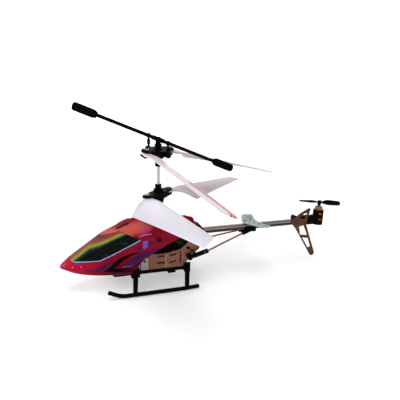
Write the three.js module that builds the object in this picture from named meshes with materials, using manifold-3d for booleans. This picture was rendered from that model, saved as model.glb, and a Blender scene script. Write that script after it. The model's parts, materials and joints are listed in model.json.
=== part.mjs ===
// A palm-size coaxial toy helicopter: two counter-turning rotors on one mast, a weighted
// stabiliser bar over them, metal side plates, a thin moulded canopy, a tail boom with a
// small lifting tail rotor, and a pair of skids.
//
// Millimetres, +Z up, nose toward -X, port side toward -Y. Heights are written above the
// ground, and the whole model is then lowered so that the origin is on the underside of the
// base plate's pad, straight below the mast.

import * as THREE from 'three';
import { mergeVertices } from 'three/addons/utils/BufferGeometryUtils.js';
import Module from 'manifold-3d';

const wasm = await Module();
wasm.setup();

// ---------------------------------------------------------------- driving dimensions
const GAP = 0.3;                        // clearance between neighbouring pieces
const BASE_BOTTOM = 8.5;                // underside of the base plate's pad above the ground
const PAD_HEIGHT = 0.25;
const BASE_TOP = 11;

const LOWER_ROTOR_HEIGHT = 62.7;
const UPPER_ROTOR_HEIGHT = 91.5;
const FLYBAR_HEIGHT = 99.7;
const PIN_RADIUS = 14.1;                // blade pin to mast axis
const LOWER_ARM_AZIMUTH = 49.5;         // degrees, hub arms as they stand at rest
const UPPER_ARM_AZIMUTH = 46.1;
const LOWER_FOLDS = [50, -17.6];        // degrees from straight out, near and far blade
const UPPER_FOLDS = [63.2, -49.6];
const HUB_FEATHER = 15.4;               // degrees, tilt of the upper hub about its arms
const FLYBAR_AZIMUTH = -5.5;
const FLYBAR_TILT = 20.5;

const BLADE_LENGTH = 85;                // pin to tip
const BLADE_ROOT = 15.2;                // where the blade is widest
const BLADE_TRAILING = 15.9;            // trailing edge behind the pin line, at the root
const BLADE_TRAILING_TIP = 4.3;
const BLADE_LEADING = 3.6;
const BLADE_SHOULDER = 80.2;            // where the leading edge turns in to the tip
const BLADE_PITCH_ROOT = 22.4;
const BLADE_PITCH_TIP = 10.9;
const TAB_RADIUS = 3.2;
const TAB_THICKNESS = 1.2;

const FLYBAR_HALF = 55.2;
const WEIGHT_START = 40.1;
const WEIGHT_RADIUS = 2.7;
const LINK_RADIUS = 8;                  // link pivots to mast axis

const SHAFT_RADIUS = 1.2;
const SLEEVE_RADIUS = 2.2;
const SLEEVE_BORE = 1.5;
const HOUSING_BORE = 2.5;
const GEAR_TEETH = 64;
const PINION_TEETH = 8;
const GEAR_TIP = 12.4;
const PINION_TIP = 1.8;
const TOOTH = 0.75;
const GEAR_THICKNESS = 1.4;
const LOWER_GEAR_HEIGHT = 24.2;
const UPPER_GEAR_HEIGHT = 27.2;
const MOTOR_RADIUS = 2.9;
const MOTOR_Y = 3.1;
const MOTOR_X = -Math.sqrt((GEAR_TIP + PINION_TIP + GAP) ** 2 - MOTOR_Y ** 2);

const PLATE_Y = 7;                      // outer face of the side plates
const PLATE_THICKNESS = 0.8;
const SKID_Y = 20.5;
const SKID_RADIUS = 1.4;

const CANOPY_WALL = 0.9;
// x, greatest half width, keel height, roof height
const CANOPY_STATIONS = [
  [-64.8, 1.3, 16.7, 17.9], [-63.6, 3.4, 16.5, 19.3], [-60, 5.8, 15.6, 22.7],
  [-56, 7.6, 14.2, 25.9], [-50, 9.4, 13, 30.2], [-44, 10.9, 12.3, 34.6],
  [-38, 12.1, 12, 38.7], [-30, 13.1, 11.7, 42.6], [-22, 13.6, 11.5, 45.9],
  [-12, 13.9, 11.3, 48.9], [0, 13.9, 11.3, 50.2], [12, 12.9, 16, 49.1],
  [21, 11.2, 22, 46.2], [27, 9.6, 26, 44.4], [31.5, 8.6, 29, 41.5],
];
// width and height fractions of a canopy section, from the lower edge to the roof line
const CANOPY_SECTION = [
  [0.78, 0], [0.93, 0.16], [1, 0.36], [0.96, 0.54], [0.82, 0.71], [0.6, 0.85], [0.32, 0.95],
  [0, 1],
];
const GROMMET = [-2, 35];               // x and height of the canopy pegs

const BOOM_START = 24;
const BOOM_END = 111.5;
const BOOM_SIZE = 4.4;
const BOOM_CHAMFER = 1.2;
const BOOM_AXIS_HEIGHT = 34.3;          // at the boom's front end
const BOOM_RISE = 0.95;                 // degrees
const STABILISER_DIHEDRAL = 3.5;
const FIN_Y = -2.5;
const FIN_THICKNESS = 0.6;
const TAIL_MOTOR_X = 132.3;
const TAIL_SLEEVE_RADIUS = 4.1;
const TAIL_ROTOR_HEIGHT = 50.8;
const TAIL_ROTOR_RADIUS = 15.8;
const TAIL_ROTOR_AZIMUTH = -30;

// ---------------------------------------------------------------- materials
const material = (color, roughness, metalness) =>
  new THREE.MeshStandardMaterial({ color, roughness, metalness });
const CRIMSON = material(0xb0153a, 0.18, 0.1);
const WINDOW = material(0x3d5a3c, 0.12, 0.5);
const BRONZE = material(0xa9805a, 0.35, 0.85);
const SILVER = material(0xc9c6c0, 0.3, 0.9);
const BLUE_GREY = material(0x8fa3a8, 0.4, 0.8);
const BLACK = material(0x17161a, 0.5, 0);
const GLOSS_BLACK = material(0x0d0d10, 0.25, 0);
const WHITE = material(0xe4dfe6, 0.35, 0);
const STEEL = material(0x9b989a, 0.25, 0.95);
const BOARD = material(0x1d4a2c, 0.5, 0.1);
const CELL = material(0x9da3ab, 0.35, 0.6);

// ---------------------------------------------------------------- helpers
const radians = THREE.MathUtils.degToRad;
const helicopter = new THREE.Group();
const airframe = new THREE.Group();
airframe.position.z = -BASE_BOTTOM;
helicopter.add(airframe);

function addPiece(name, geometry, finish, parent = airframe) {
  const mesh = new THREE.Mesh(geometry, finish);
  mesh.name = name;
  parent.add(mesh);
  return mesh;
}

function solidOf(geometry) {
  const bare = geometry.clone();
  bare.deleteAttribute('normal');
  bare.deleteAttribute('uv');
  const merged = mergeVertices(bare, 1e-4);
  const mesh = new wasm.Mesh({
    numProp: 3,
    vertProperties: new Float32Array(merged.attributes.position.array),
    triVerts: new Uint32Array(merged.index.array),
  });
  return new wasm.Manifold(mesh);
}

function geometryOf(solid) {
  const mesh = solid.getMesh();
  const geometry = new THREE.BufferGeometry();
  geometry.setAttribute('position', new THREE.BufferAttribute(mesh.vertProperties, 3));
  geometry.setIndex(new THREE.BufferAttribute(mesh.triVerts, 1));
  geometry.computeVertexNormals();
  return geometry;
}

const join = (...parts) => geometryOf(parts.map(solidOf).reduce((sum, part) => sum.add(part)));

function cut(geometry, ...tools) {
  const remove = (rest, tool) => rest.subtract(tool);
  return geometryOf(tools.map(solidOf).reduce(remove, solidOf(geometry)));
}

function box(x0, x1, y0, y1, z0, z1) {
  const geometry = new THREE.BoxGeometry(x1 - x0, y1 - y0, z1 - z0);
  return geometry.translate((x0 + x1) / 2, (y0 + y1) / 2, (z0 + z1) / 2);
}

// an upright cylinder or cone
function post(bottomRadius, topRadius, z0, z1, x = 0, y = 0, sides = 18) {
  const geometry = new THREE.CylinderGeometry(topRadius, bottomRadius, z1 - z0, sides);
  return geometry.rotateX(Math.PI / 2).translate(x, y, (z0 + z1) / 2);
}

// a cylinder along X or along Y
function rodX(radius, x0, x1, y = 0, z = 0, sides = 12) {
  const geometry = new THREE.CylinderGeometry(radius, radius, x1 - x0, sides);
  return geometry.rotateZ(Math.PI / 2).translate((x0 + x1) / 2, y, z);
}

function rodY(radius, y0, y1, x = 0, z = 0, sides = 12) {
  const geometry = new THREE.CylinderGeometry(radius, radius, y1 - y0, sides);
  return geometry.translate(x, (y0 + y1) / 2, z);
}

// a cylinder between two points
function rodBetween(start, end, radius, sides = 10) {
  const span = new THREE.Vector3().subVectors(end, start);
  const geometry = new THREE.CylinderGeometry(radius, radius, span.length(), sides);
  const turn = new THREE.Quaternion().setFromUnitVectors(
    new THREE.Vector3(0, 1, 0), span.clone().normalize());
  const middle = new THREE.Vector3().addVectors(start, end).multiplyScalar(0.5);
  return geometry.applyQuaternion(turn).translate(middle.x, middle.y, middle.z);
}

// an outline with holes; outlines are turned counter-clockwise and holes clockwise
function shapeOf(outline, holes = []) {
  const turned = (points, clockwise) => {
    const corners = points.map(([x, y]) => new THREE.Vector2(x, y));
    return THREE.ShapeUtils.isClockWise(corners) === clockwise ? corners : corners.reverse();
  };
  const shape = new THREE.Shape(turned(outline, false));
  shape.holes = holes.map((hole) => new THREE.Path(turned(hole, true)));
  return shape;
}

// an outline in the X-Z plane given a thickness along Y, from y0 to y1
function sidePlate(shape, y0, y1) {
  const geometry = new THREE.ExtrudeGeometry(shape, { depth: y1 - y0, bevelEnabled: false });
  return geometry.rotateX(Math.PI / 2).translate(0, y1, 0);
}

// an outline in the X-Y plane given a thickness along Z, from z0 to z1
function flatPlate(shape, z0, z1) {
  const geometry = new THREE.ExtrudeGeometry(shape, { depth: z1 - z0, bevelEnabled: false });
  return geometry.translate(0, 0, z0);
}

const rectangle = (x0, x1, y0, y1) => [[x0, y0], [x1, y0], [x1, y1], [x0, y1]];

function circle(x, y, radius, sides = 16) {
  return Array.from({ length: sides }, (_, i) => {
    const angle = (2 * Math.PI * i) / sides;
    return [x + radius * Math.cos(angle), y + radius * Math.sin(angle)];
  });
}

function signedVolume(points, faces) {
  const corner = (i) => new THREE.Vector3(...points[faces[i]]);
  let volume = 0;
  for (let i = 0; i < faces.length; i += 3) {
    volume += corner(i).dot(corner(i + 1).cross(corner(i + 2))) / 6;
  }
  return volume;
}

// a skin over rings that all have the same number of points, closed at both ends
function loft(rings) {
  const count = rings[0].length;
  const points = rings.flat();
  const faces = [];
  for (let ring = 0; ring + 1 < rings.length; ring += 1) {
    for (let i = 0; i < count; i += 1) {
      const a = ring * count + i;
      const b = ring * count + ((i + 1) % count);
      faces.push(a, b, b + count, a, b + count, a + count);
    }
  }
  for (let i = 1; i + 1 < count; i += 1) {
    const last = (rings.length - 1) * count;
    faces.push(0, i + 1, i, last, last + i, last + i + 1);
  }
  // reversing the list turns every face over
  if (signedVolume(points, faces) < 0) faces.reverse();
  const geometry = new THREE.BufferGeometry();
  geometry.setAttribute('position', new THREE.Float32BufferAttribute(points.flat(), 3));
  geometry.setIndex(faces);
  geometry.computeVertexNormals();
  return geometry;
}

// moves every edge of a counter-clockwise outline inward
function inset(points, distance) {
  const edges = points.map((start, i) => {
    const end = points[(i + 1) % points.length];
    const length = Math.hypot(end[0] - start[0], end[1] - start[1]);
    const direction = [(end[0] - start[0]) / length, (end[1] - start[1]) / length];
    const origin = [start[0] - direction[1] * distance, start[1] + direction[0] * distance];
    return { origin, direction };
  });
  return edges.map((edge, i) => {
    const before = edges[(i + edges.length - 1) % edges.length];
    const across = before.direction[0] * edge.direction[1] - before.direction[1] * edge.direction[0];
    const dx = edge.origin[0] - before.origin[0];
    const dy = edge.origin[1] - before.origin[1];
    const along = (dx * edge.direction[1] - dy * edge.direction[0]) / across;
    return [before.origin[0] + along * before.direction[0], before.origin[1] + along * before.direction[1]];
  });
}

const SIDES = [['left', -1], ['right', 1]];

// ---------------------------------------------------------------- base, skids and legs
const baseOutline = [
  [-32, -6], [-30.5, -7.4], [16, -7.4], [17.5, -6], [17.5, 6], [16, 7.4], [-30.5, 7.4], [-32, 6],
];
// a shallow pad between the leg arches is the lowest flat face of the base plate
const basePad = box(-11, 3.5, -6.2, 6.2, BASE_BOTTOM, BASE_BOTTOM + 1);
addPiece('base_plate',
  join(flatPlate(shapeOf(baseOutline), BASE_BOTTOM + PAD_HEIGHT, BASE_TOP), basePad), BLACK);

// a skid tube: level under the legs, curved up at the front
function skidGeometry(side) {
  const path = new THREE.CatmullRomCurve3([
    new THREE.Vector3(-35.6, side * SKID_Y, 5.3), new THREE.Vector3(-31, side * SKID_Y, 2.9),
    new THREE.Vector3(-27, side * SKID_Y, SKID_RADIUS + 0.1),
    new THREE.Vector3(-20, side * SKID_Y, SKID_RADIUS),
    new THREE.Vector3(15, side * SKID_Y, SKID_RADIUS),
    new THREE.Vector3(24.2, side * SKID_Y, SKID_RADIUS + 0.5),
  ]);
  const section = shapeOf(circle(0, 0, SKID_RADIUS, 8));
  return new THREE.ExtrudeGeometry(section, { steps: 16, bevelEnabled: false, extrudePath: path });
}
for (const [name, side] of SIDES) {
  addPiece(`skid_${name}`, skidGeometry(side), GLOSS_BLACK);
}

// one leg: a flat bar from the lug beside the base plate down to the skid
function legGeometry(side, top, foot, width) {
  const rings = [[top, width], [foot, width * 0.85]].map(([[x, y, z], w]) => [
    [x - w / 2, side * (y - 0.9), z], [x + w / 2, side * (y - 0.9), z],
    [x + w / 2, side * (y + 0.9), z], [x - w / 2, side * (y + 0.9), z],
  ]);
  return loft(rings);
}

// a cross beam under the base plate with a lug and a leg on each side
function legArch(x0, x1, lugTop, kneeHeight, footX) {
  const middle = (x0 + x1) / 2;
  const legs = SIDES.map(([, side]) =>
    legGeometry(side, [middle, 8.6, kneeHeight], [footX, SKID_Y, 2 * SKID_RADIUS + GAP], 3.4));
  const lugs = SIDES.map(([, side]) =>
    box(x0, x1, Math.min(side * 7.7, side * 9.2), Math.max(side * 7.7, side * 9.2), 7.2, lugTop));
  return join(box(x0, x1, -8, 8, 7.2, BASE_BOTTOM - GAP + PAD_HEIGHT), ...lugs, ...legs);
}
addPiece('front_leg_arch', legArch(-20.2, -14.2, 13.2, 9.6, -18.8), BLACK);
addPiece('rear_leg_arch', legArch(17, 21.2, 14.5, 9.6, 15.8), BLACK);

// ---------------------------------------------------------------- power switch
addPiece('switch_housing', cut(
  box(5.4, 11, -7.2, -3.4, 7.1, BASE_BOTTOM - GAP), box(6.4, 10, -8, -6, 7.45, 7.9)), BLACK);
addPiece('switch_slider', join(
  box(6.8, 8.2, -6.9, -6.3, 7.55, 7.8), box(6.9, 8.1, -8.2, -6.8, 7.55, 7.8)), SILVER);

// ---------------------------------------------------------------- metal side plates
const PLATE_BOTTOM = BASE_TOP + GAP;
const plateOutline = [
  [-7.6, PLATE_BOTTOM], [17, PLATE_BOTTOM], [22, 19.1], [28, 23.1], [30, 29], [29, 33.5],
  [22.5, 33.5], [19, 27.9], [14.5, 24.4], [11, 23.5], [-7.6, 23.5],
];
const plateHoles = [
  rectangle(-2.1, 3.1, 19.8, 21), rectangle(-2.1, 3.1, 14.8, 16),
  [[6.4, 19.7], [11.1, 20.5], [11.1, 21.7], [6.4, 20.9]],
  [[6.4, 14.2], [11.1, 15.3], [11.1, 16.5], [6.4, 15.4]],
  rectangle(13.9, 14.8, 13.4, 23.2),
  [[18.1, 25], [19.6, 26.3], [21.9, 24.5], [20.3, 23.1]],
  [[21.6, 23.3], [22.5, 23.9], [24.6, 21.8], [23.8, 21.1]],
];
function sidePlateAt(side, outline, holes, thickness) {
  const outer = side * PLATE_Y;
  const inner = side * (PLATE_Y - thickness);
  return sidePlate(shapeOf(outline, holes), Math.min(outer, inner), Math.max(outer, inner));
}
const bracketOutline = [
  [-13.5, PLATE_BOTTOM], [-8, PLATE_BOTTOM], [-8, 20.2], [-11, 20.6], [-13.5, 18.4],
];
for (const [name, side] of SIDES) {
  addPiece(`side_plate_${name}`, sidePlateAt(side, plateOutline, plateHoles, PLATE_THICKNESS), BRONZE);
  addPiece(`front_bracket_${name}`,
    sidePlateAt(side, bracketOutline, [circle(-10.6, 17.7, 1, 12)], PLATE_THICKNESS), SILVER);
}

// ---------------------------------------------------------------- main frame and mast housing
const boomTurn = (geometry) =>
  geometry.rotateY(-radians(BOOM_RISE)).translate(BOOM_START, 0, BOOM_AXIS_HEIGHT);
function boomSection(size, chamfer) {
  const half = size / 2;
  const flat = half - chamfer;
  return shapeOf([
    [half, -flat], [half, flat], [flat, half], [-flat, half], [-half, flat], [-half, -flat],
    [-flat, -half], [flat, -half],
  ]);
}
function boomGeometry(size, from, to) {
  const geometry = new THREE.ExtrudeGeometry(boomSection(size, BOOM_CHAMFER),
    { depth: to - from, bevelEnabled: false });
  geometry.rotateX(Math.PI / 2).rotateZ(Math.PI / 2).translate(from, 0, 0);
  return boomTurn(geometry);
}

const strutOutline = [
  [9, 22.4], [15, 22.4], [21.5, 27.4], [24.4, 29.6], [24.4, 33.4], [20, 33.4], [20, 29.2],
  [13.4, 23.9], [9, 23.6],
];
const blockOutline = [
  [20, 29.4], [31.8, 29.4], [31.8, 36.4], [30.9, 38.6], [28.9, 40.1], [26.4, 40.7], [20, 40.7],
];
const frameParts = [
  box(-18.2, 14, -6, 6, 22.4, 23.6),
  box(13.4, 26, -5.9, 5.9, 22.6, 26.6),
  box(20.6, 26, -5.9, 5.9, 19.4, 22.8),
  sidePlate(shapeOf(strutOutline), -2.6, 2.6),
  sidePlate(shapeOf(blockOutline), -3.7, 3.7),
  box(22.6, 29.8, -5.9, 5.9, 29.4, 32.4),
  box(-5.4, 21, -3.4, 3.4, 29.4, 31),
  post(5.4, 5.4, 29.4, 31),
  post(4.4, 3.6, 30.6, 36),
  post(3.6, 3.4, 35.6, 55.4),
  rodY(1.2, -12, 12, GROMMET[0], GROMMET[1], 12),
  rodY(0.75, -13.8, 13.8, GROMMET[0], GROMMET[1], 12),
];
addPiece('main_frame', cut(join(...frameParts),
  post(HOUSING_BORE, HOUSING_BORE, 28, 57), post(SHAFT_RADIUS + GAP, SHAFT_RADIUS + GAP, 21, 25),
  ...SIDES.map(([, side]) => post(0.8, 0.8, 21, 25, MOTOR_X, side * MOTOR_Y, 12)),
  boomGeometry(BOOM_SIZE + 2 * GAP, -GAP, 12)), BLACK);

// ---------------------------------------------------------------- battery, board, receiver
addPiece('battery', box(-43, -20, -6.4, 6.4, BASE_TOP + GAP, 19.6), CELL);
addPiece('circuit_board', box(-6.6, 16, -0.6, 0.6, BASE_TOP + GAP, 19.4), BOARD);
addPiece('infrared_receiver', join(
  box(16.4, 18, -1.6, 1.6, 12, 17), rodX(1.3, 17.8, 19.2, 0, 14.5, 12)), GLOSS_BLACK);

// ---------------------------------------------------------------- motors, pinions and gears
function toothedOutline(teeth, tip, root) {
  return Array.from({ length: 4 * teeth }, (_, i) => {
    const angle = (2 * Math.PI * (i + 0.5)) / (4 * teeth);
    const radius = i % 4 < 2 ? tip : root;
    return [radius * Math.cos(angle), radius * Math.sin(angle)];
  });
}
const mainGear = (z, bore) => flatPlate(
  shapeOf(toothedOutline(GEAR_TEETH, GEAR_TIP, GEAR_TIP - TOOTH), [circle(0, 0, bore, 14)]),
  z, z + GEAR_THICKNESS);

const motorTop = 22.4 - GAP;
for (const [name, side] of SIDES) {
  const meshHeight = side < 0 ? LOWER_GEAR_HEIGHT : UPPER_GEAR_HEIGHT;
  addPiece(`main_motor_${name}`, cut(
    post(MOTOR_RADIUS, MOTOR_RADIUS, BASE_TOP + GAP, motorTop, MOTOR_X, side * MOTOR_Y, 16),
    post(0.8, 0.8, 18, 23, MOTOR_X, side * MOTOR_Y, 12)), STEEL);
  const pinion = addPiece(`pinion_${name}`, join(
    post(0.5, 0.5, 18.4, meshHeight + 1, 0, 0, 12),
    flatPlate(shapeOf(toothedOutline(PINION_TEETH, PINION_TIP, PINION_TIP - 0.7)),
      meshHeight - 0.1, meshHeight + GEAR_THICKNESS)), SILVER);
  pinion.position.set(MOTOR_X, side * MOTOR_Y, 0);
}

// ---------------------------------------------------------------- blades and hubs
const smooth = (edge0, edge1, value) => THREE.MathUtils.smoothstep(value, edge0, edge1);
const lerp = THREE.MathUtils.lerp;

function bladeEdges(u) {
  const round = u < 0 ? Math.sqrt(TAB_RADIUS ** 2 - u ** 2) : TAB_RADIUS;
  if (u <= 3.2) return [-round, round];
  const turnIn = BLADE_LEADING + BLADE_TRAILING_TIP - 0.8;
  const leadingIn = smooth(BLADE_SHOULDER, BLADE_LENGTH + 0.6, u) * turnIn;
  const trailing = u < BLADE_ROOT
    ? lerp(TAB_RADIUS, BLADE_TRAILING, (u - 3.2) / (BLADE_ROOT - 3.2))
    : lerp(BLADE_TRAILING, BLADE_TRAILING_TIP, (u - BLADE_ROOT) / (BLADE_LENGTH - BLADE_ROOT));
  return [-BLADE_LEADING + leadingIn, trailing];
}

// a blade along +X from its pin, its trailing edge toward +Y or -Y
function bladeGeometry(trailingSide) {
  const stations = [
    -3, -1.8, 0, 3.2, 5.5, 8, 10.8, BLADE_ROOT, 24, 36, 48, 60, 72, BLADE_SHOULDER, 83,
    BLADE_LENGTH,
  ];
  const chordSteps = [0, 0.25, 0.6, 1];
  const rings = stations.map((u) => {
    const [leading, trailing] = bladeEdges(u);
    const beyond = Math.max(0, (u - BLADE_ROOT) / (BLADE_LENGTH - BLADE_ROOT));
    const pitch = radians(smooth(3.2, BLADE_ROOT, u) * lerp(BLADE_PITCH_ROOT, BLADE_PITCH_TIP, beyond));
    const thickness = lerp(TAB_THICKNESS, 0.8, smooth(3.2, BLADE_ROOT, u));
    const camber = 0.06 * (trailing - leading) * smooth(3.2, BLADE_ROOT, u);
    const surface = (side) => chordSteps.map((t) => {
      const v = lerp(leading, trailing, t);
      const height = camber * 4 * t * (1 - t) + (side * thickness) / 2;
      const back = v * Math.cos(pitch) + height * Math.sin(pitch);
      return [u, trailingSide * back, height * Math.cos(pitch) - v * Math.sin(pitch)];
    });
    return [...surface(1), ...surface(-1).reverse()];
  });
  return cut(loft(rings), post(1.1, 1.1, -2, 2, 0, 0, 12));
}

// the outline of a two-armed hub: round ends over the pins, widest at the middle
function armOutline(endRadius, middleHalf) {
  const cap = (side) => Array.from({ length: 6 }, (_, i) => {
    const angle = radians(-80 + 32 * i) + (side < 0 ? Math.PI : 0);
    return [side * PIN_RADIUS + endRadius * Math.cos(angle), endRadius * Math.sin(angle)];
  });
  return [...cap(1), [3, middleHalf], [-3, middleHalf], ...cap(-1), [-3, -middleHalf], [3, -middleHalf]];
}
const ARM_HALF = 2.1;
const FORK_HALF = TAB_THICKNESS / 2 + GAP;
const forkCuts = () => SIDES.flatMap(([, side]) => [
  box(Math.min(side * 8.5, side * 20), Math.max(side * 8.5, side * 20), -8, 8,
    -FORK_HALF, FORK_HALF),
  post(1.1, 1.1, -4, 4, side * PIN_RADIUS, 0, 12),
]);
const bladePin = () => join(
  post(0.8, 0.8, -ARM_HALF - 1, ARM_HALF + 1, 0, 0, 12),
  post(1.6, 1.6, ARM_HALF + GAP, ARM_HALF + 1.1, 0, 0, 12),
  post(1.4, 1.4, -ARM_HALF - 1.1, -ARM_HALF - GAP, 0, 0, 6));

// two blades and their pins on the arms of a hub; folds are measured from straight out
function addBlades(rotor, hub, folds, trailingSide) {
  [['near', 180, -1], ['far', 0, 1]].forEach(([name, straight, side], i) => {
    const pinPlace = new THREE.Group();
    pinPlace.position.x = side * PIN_RADIUS;
    hub.add(pinPlace);
    addPiece(`${rotor}_pin_${name}`, bladePin(), SILVER, pinPlace);
    const blade = addPiece(`${rotor}_blade_${name}`, bladeGeometry(trailingSide), WHITE, pinPlace);
    blade.rotation.z = radians(straight + folds[i]);
  });
}

// ---------------------------------------------------------------- lower rotor, on the sleeve
const lowerRotor = new THREE.Group();
lowerRotor.rotation.z = radians(LOWER_ARM_AZIMUTH);
airframe.add(lowerRotor);
addPiece('outer_sleeve', cut(
  post(SLEEVE_RADIUS, SLEEVE_RADIUS, 26.6, 70), post(SLEEVE_BORE, SLEEVE_BORE, 26, 71)), BLACK, lowerRotor);
addPiece('upper_gear', mainGear(UPPER_GEAR_HEIGHT, HOUSING_BORE), BLACK, lowerRotor);
const lowerHub = new THREE.Group();
lowerHub.position.z = LOWER_ROTOR_HEIGHT;
lowerRotor.add(lowerHub);
addPiece('lower_hub', cut(join(
  flatPlate(shapeOf(armOutline(3, 4.4)), -ARM_HALF, ARM_HALF),
  post(3.2, 4.2, -6.4, -1.9), post(3.6, 3.1, 1.9, 4.2)),
post(HOUSING_BORE, HOUSING_BORE, -8, 8), ...forkCuts()), BLACK, lowerHub);
addBlades('lower', lowerHub, LOWER_FOLDS, -1);

// ---------------------------------------------------------------- inner shaft and rotor head
addPiece('inner_shaft', post(SHAFT_RADIUS, SHAFT_RADIUS, 20.4, 86.6), STEEL);
addPiece('lower_gear', mainGear(LOWER_GEAR_HEIGHT, SHAFT_RADIUS + GAP), BLACK);
const headPins = [
  rodX(0.5, -4.4, 4.4).rotateZ(radians(UPPER_ARM_AZIMUTH)).translate(0, 0, UPPER_ROTOR_HEIGHT),
  rodY(0.5, -3.5, 3.5).rotateZ(radians(FLYBAR_AZIMUTH)).translate(0, 0, FLYBAR_HEIGHT),
];
addPiece('head_post', cut(join(
  post(2.1, 2.1, 82, 87.4), post(1.8, 1.8, 87, 95.4), post(2.3, 2.3, 95.2, 96.8),
  post(1.7, 1.6, 96.5, 101.3), ...headPins),
post(SLEEVE_BORE, SLEEVE_BORE, 81, 87)), BLACK);

const upperHub = new THREE.Group();
upperHub.position.z = UPPER_ROTOR_HEIGHT;
upperHub.rotation.set(radians(HUB_FEATHER), 0, radians(UPPER_ARM_AZIMUTH), 'ZYX');
airframe.add(upperHub);
// a lug on each side of the hub holds a stud for the link's lower eye
const lugParts = [-1, 1].flatMap((side) => [
  box(side < 0 ? 1 : -2.2, side < 0 ? 2.2 : -1, Math.min(side * 4, side * 9),
    Math.max(side * 4, side * 9), -1.2, 1.2),
  rodX(0.5, side < 0 ? -1 : -1.5, side < 0 ? 1.5 : 1, side * LINK_RADIUS, 0, 10),
]);
addPiece('upper_hub', cut(join(
  flatPlate(shapeOf(armOutline(3, 5)), -ARM_HALF, ARM_HALF), post(4.2, 5, -3.4, -1.9), ...lugParts),
post(2.8, 2.8, -6, 6), rodX(0.9, -6, 6), ...forkCuts()), BLACK, upperHub);
addBlades('upper', upperHub, UPPER_FOLDS, 1);

// ---------------------------------------------------------------- stabiliser bar and links
const flybar = new THREE.Group();
flybar.position.z = FLYBAR_HEIGHT;
flybar.rotation.set(0, radians(FLYBAR_TILT), radians(FLYBAR_AZIMUTH), 'ZYX');
airframe.add(flybar);
const linkOffset = radians(UPPER_ARM_AZIMUTH - 90 - FLYBAR_AZIMUTH);
const linkAlong = LINK_RADIUS * Math.cos(linkOffset);
const linkAcross = LINK_RADIUS * Math.sin(linkOffset);
const barRadius = 1.15;
const cradleParts = [1, -1].flatMap((side) => [
  rodX(barRadius, side > 0 ? 3.3 : -FLYBAR_HALF + 1, side > 0 ? FLYBAR_HALF - 1 : -3.3, 0, 0, 12),
  box(side * linkAlong - 0.9, side * linkAlong + 0.9, side > 0 ? -3.5 : -1, side > 0 ? 1 : 3.5,
    -0.9, 0.9),
  rodY(0.5, side > 0 ? -5.9 : 3, side > 0 ? -3 : 5.9, side * linkAlong, 0, 10),
]);
addPiece('flybar', cut(join(post(4.1, 4.1, -1.4, 1.4), ...cradleParts),
  post(2.6, 2.6, -3, 3), rodY(0.85, -6, 6, 0, 0, 12)), BLACK, flybar);
for (const [name, side] of [['left', -1], ['right', 1]]) {
  const shell = join(
    rodX(WEIGHT_RADIUS, WEIGHT_START + 1, FLYBAR_HALF, 0, 0, 16),
    rodX(WEIGHT_RADIUS * 0.75, WEIGHT_START, WEIGHT_START + 1.5, 0, 0, 16));
  const weight = cut(shell, rodX(barRadius + GAP, WEIGHT_START - 2, FLYBAR_HALF - 1 + GAP, 0, 0, 12));
  if (side < 0) weight.rotateZ(Math.PI);
  addPiece(`flybar_weight_${name}`, weight, BLACK, flybar);
}

// a link hangs upright from a stud of the bar; its lower eye lies around a stud of the hub
function linkGeometry(drop) {
  const eyeTurn = radians(UPPER_ARM_AZIMUTH - 90 - FLYBAR_AZIMUTH);
  const lowerEye = rodY(1.7, -0.6, 0.6).rotateZ(eyeTurn).translate(0, 0, -drop);
  const lowerHole = rodY(1.05, -2, 2).rotateZ(eyeTurn).translate(0, 0, -drop);
  return cut(join(rodY(1.6, -0.6, 0.6), lowerEye, box(-0.6, 0.6, -0.6, 0.6, 1.2 - drop, -1.2),
    box(-1, 1, -0.8, 0.8, 2.6 - drop, -2.4)),
    rodY(0.9, -2, 2), lowerHole);
}
for (const [name, side] of [['front', -1], ['rear', 1]]) {
  const drop = FLYBAR_HEIGHT - UPPER_ROTOR_HEIGHT - side * (
    linkAlong * Math.sin(radians(FLYBAR_TILT)) - LINK_RADIUS * Math.sin(radians(HUB_FEATHER)));
  const link = addPiece(`link_${name}`, linkGeometry(drop), BLACK);
  const studPlace = new THREE.Vector3(side * linkAlong, side * linkAcross, 0);
  link.position.copy(studPlace.applyEuler(flybar.rotation)).add(flybar.position);
  link.rotation.z = radians(FLYBAR_AZIMUTH);
}

// ---------------------------------------------------------------- canopy and window
function canopyRing([x, halfWidth, keel, roof], skirtDrop) {
  const half = CANOPY_SECTION.map(([w, h]) => [x, w * halfWidth, lerp(keel, roof, h)]);
  const lower = [x, 0.76 * halfWidth, keel - skirtDrop];
  const starboard = [lower, ...half];
  const port = starboard.slice(0, -1).reverse().map(([px, py, pz]) => [px, -py, pz]);
  return [...starboard, ...port];
}
const outerBody = loft(CANOPY_STATIONS.map((station) => canopyRing(station, 0.02)));
const innerStations = CANOPY_STATIONS.slice(1).map(([x, halfWidth, keel, roof]) => {
  const closed = x < -52;
  return { station: [x + (closed ? 1 : 0), halfWidth - CANOPY_WALL, closed ? keel + CANOPY_WALL : keel,
    roof - CANOPY_WALL], skirt: closed ? 0.02 : 6 };
});
const [lastX, ...lastSizes] = innerStations[innerStations.length - 1].station;
innerStations.push({ station: [lastX + 4, ...lastSizes], skirt: 6 });
const innerBody = loft(innerStations.map(({ station, skirt }) => canopyRing(station, skirt)));

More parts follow.
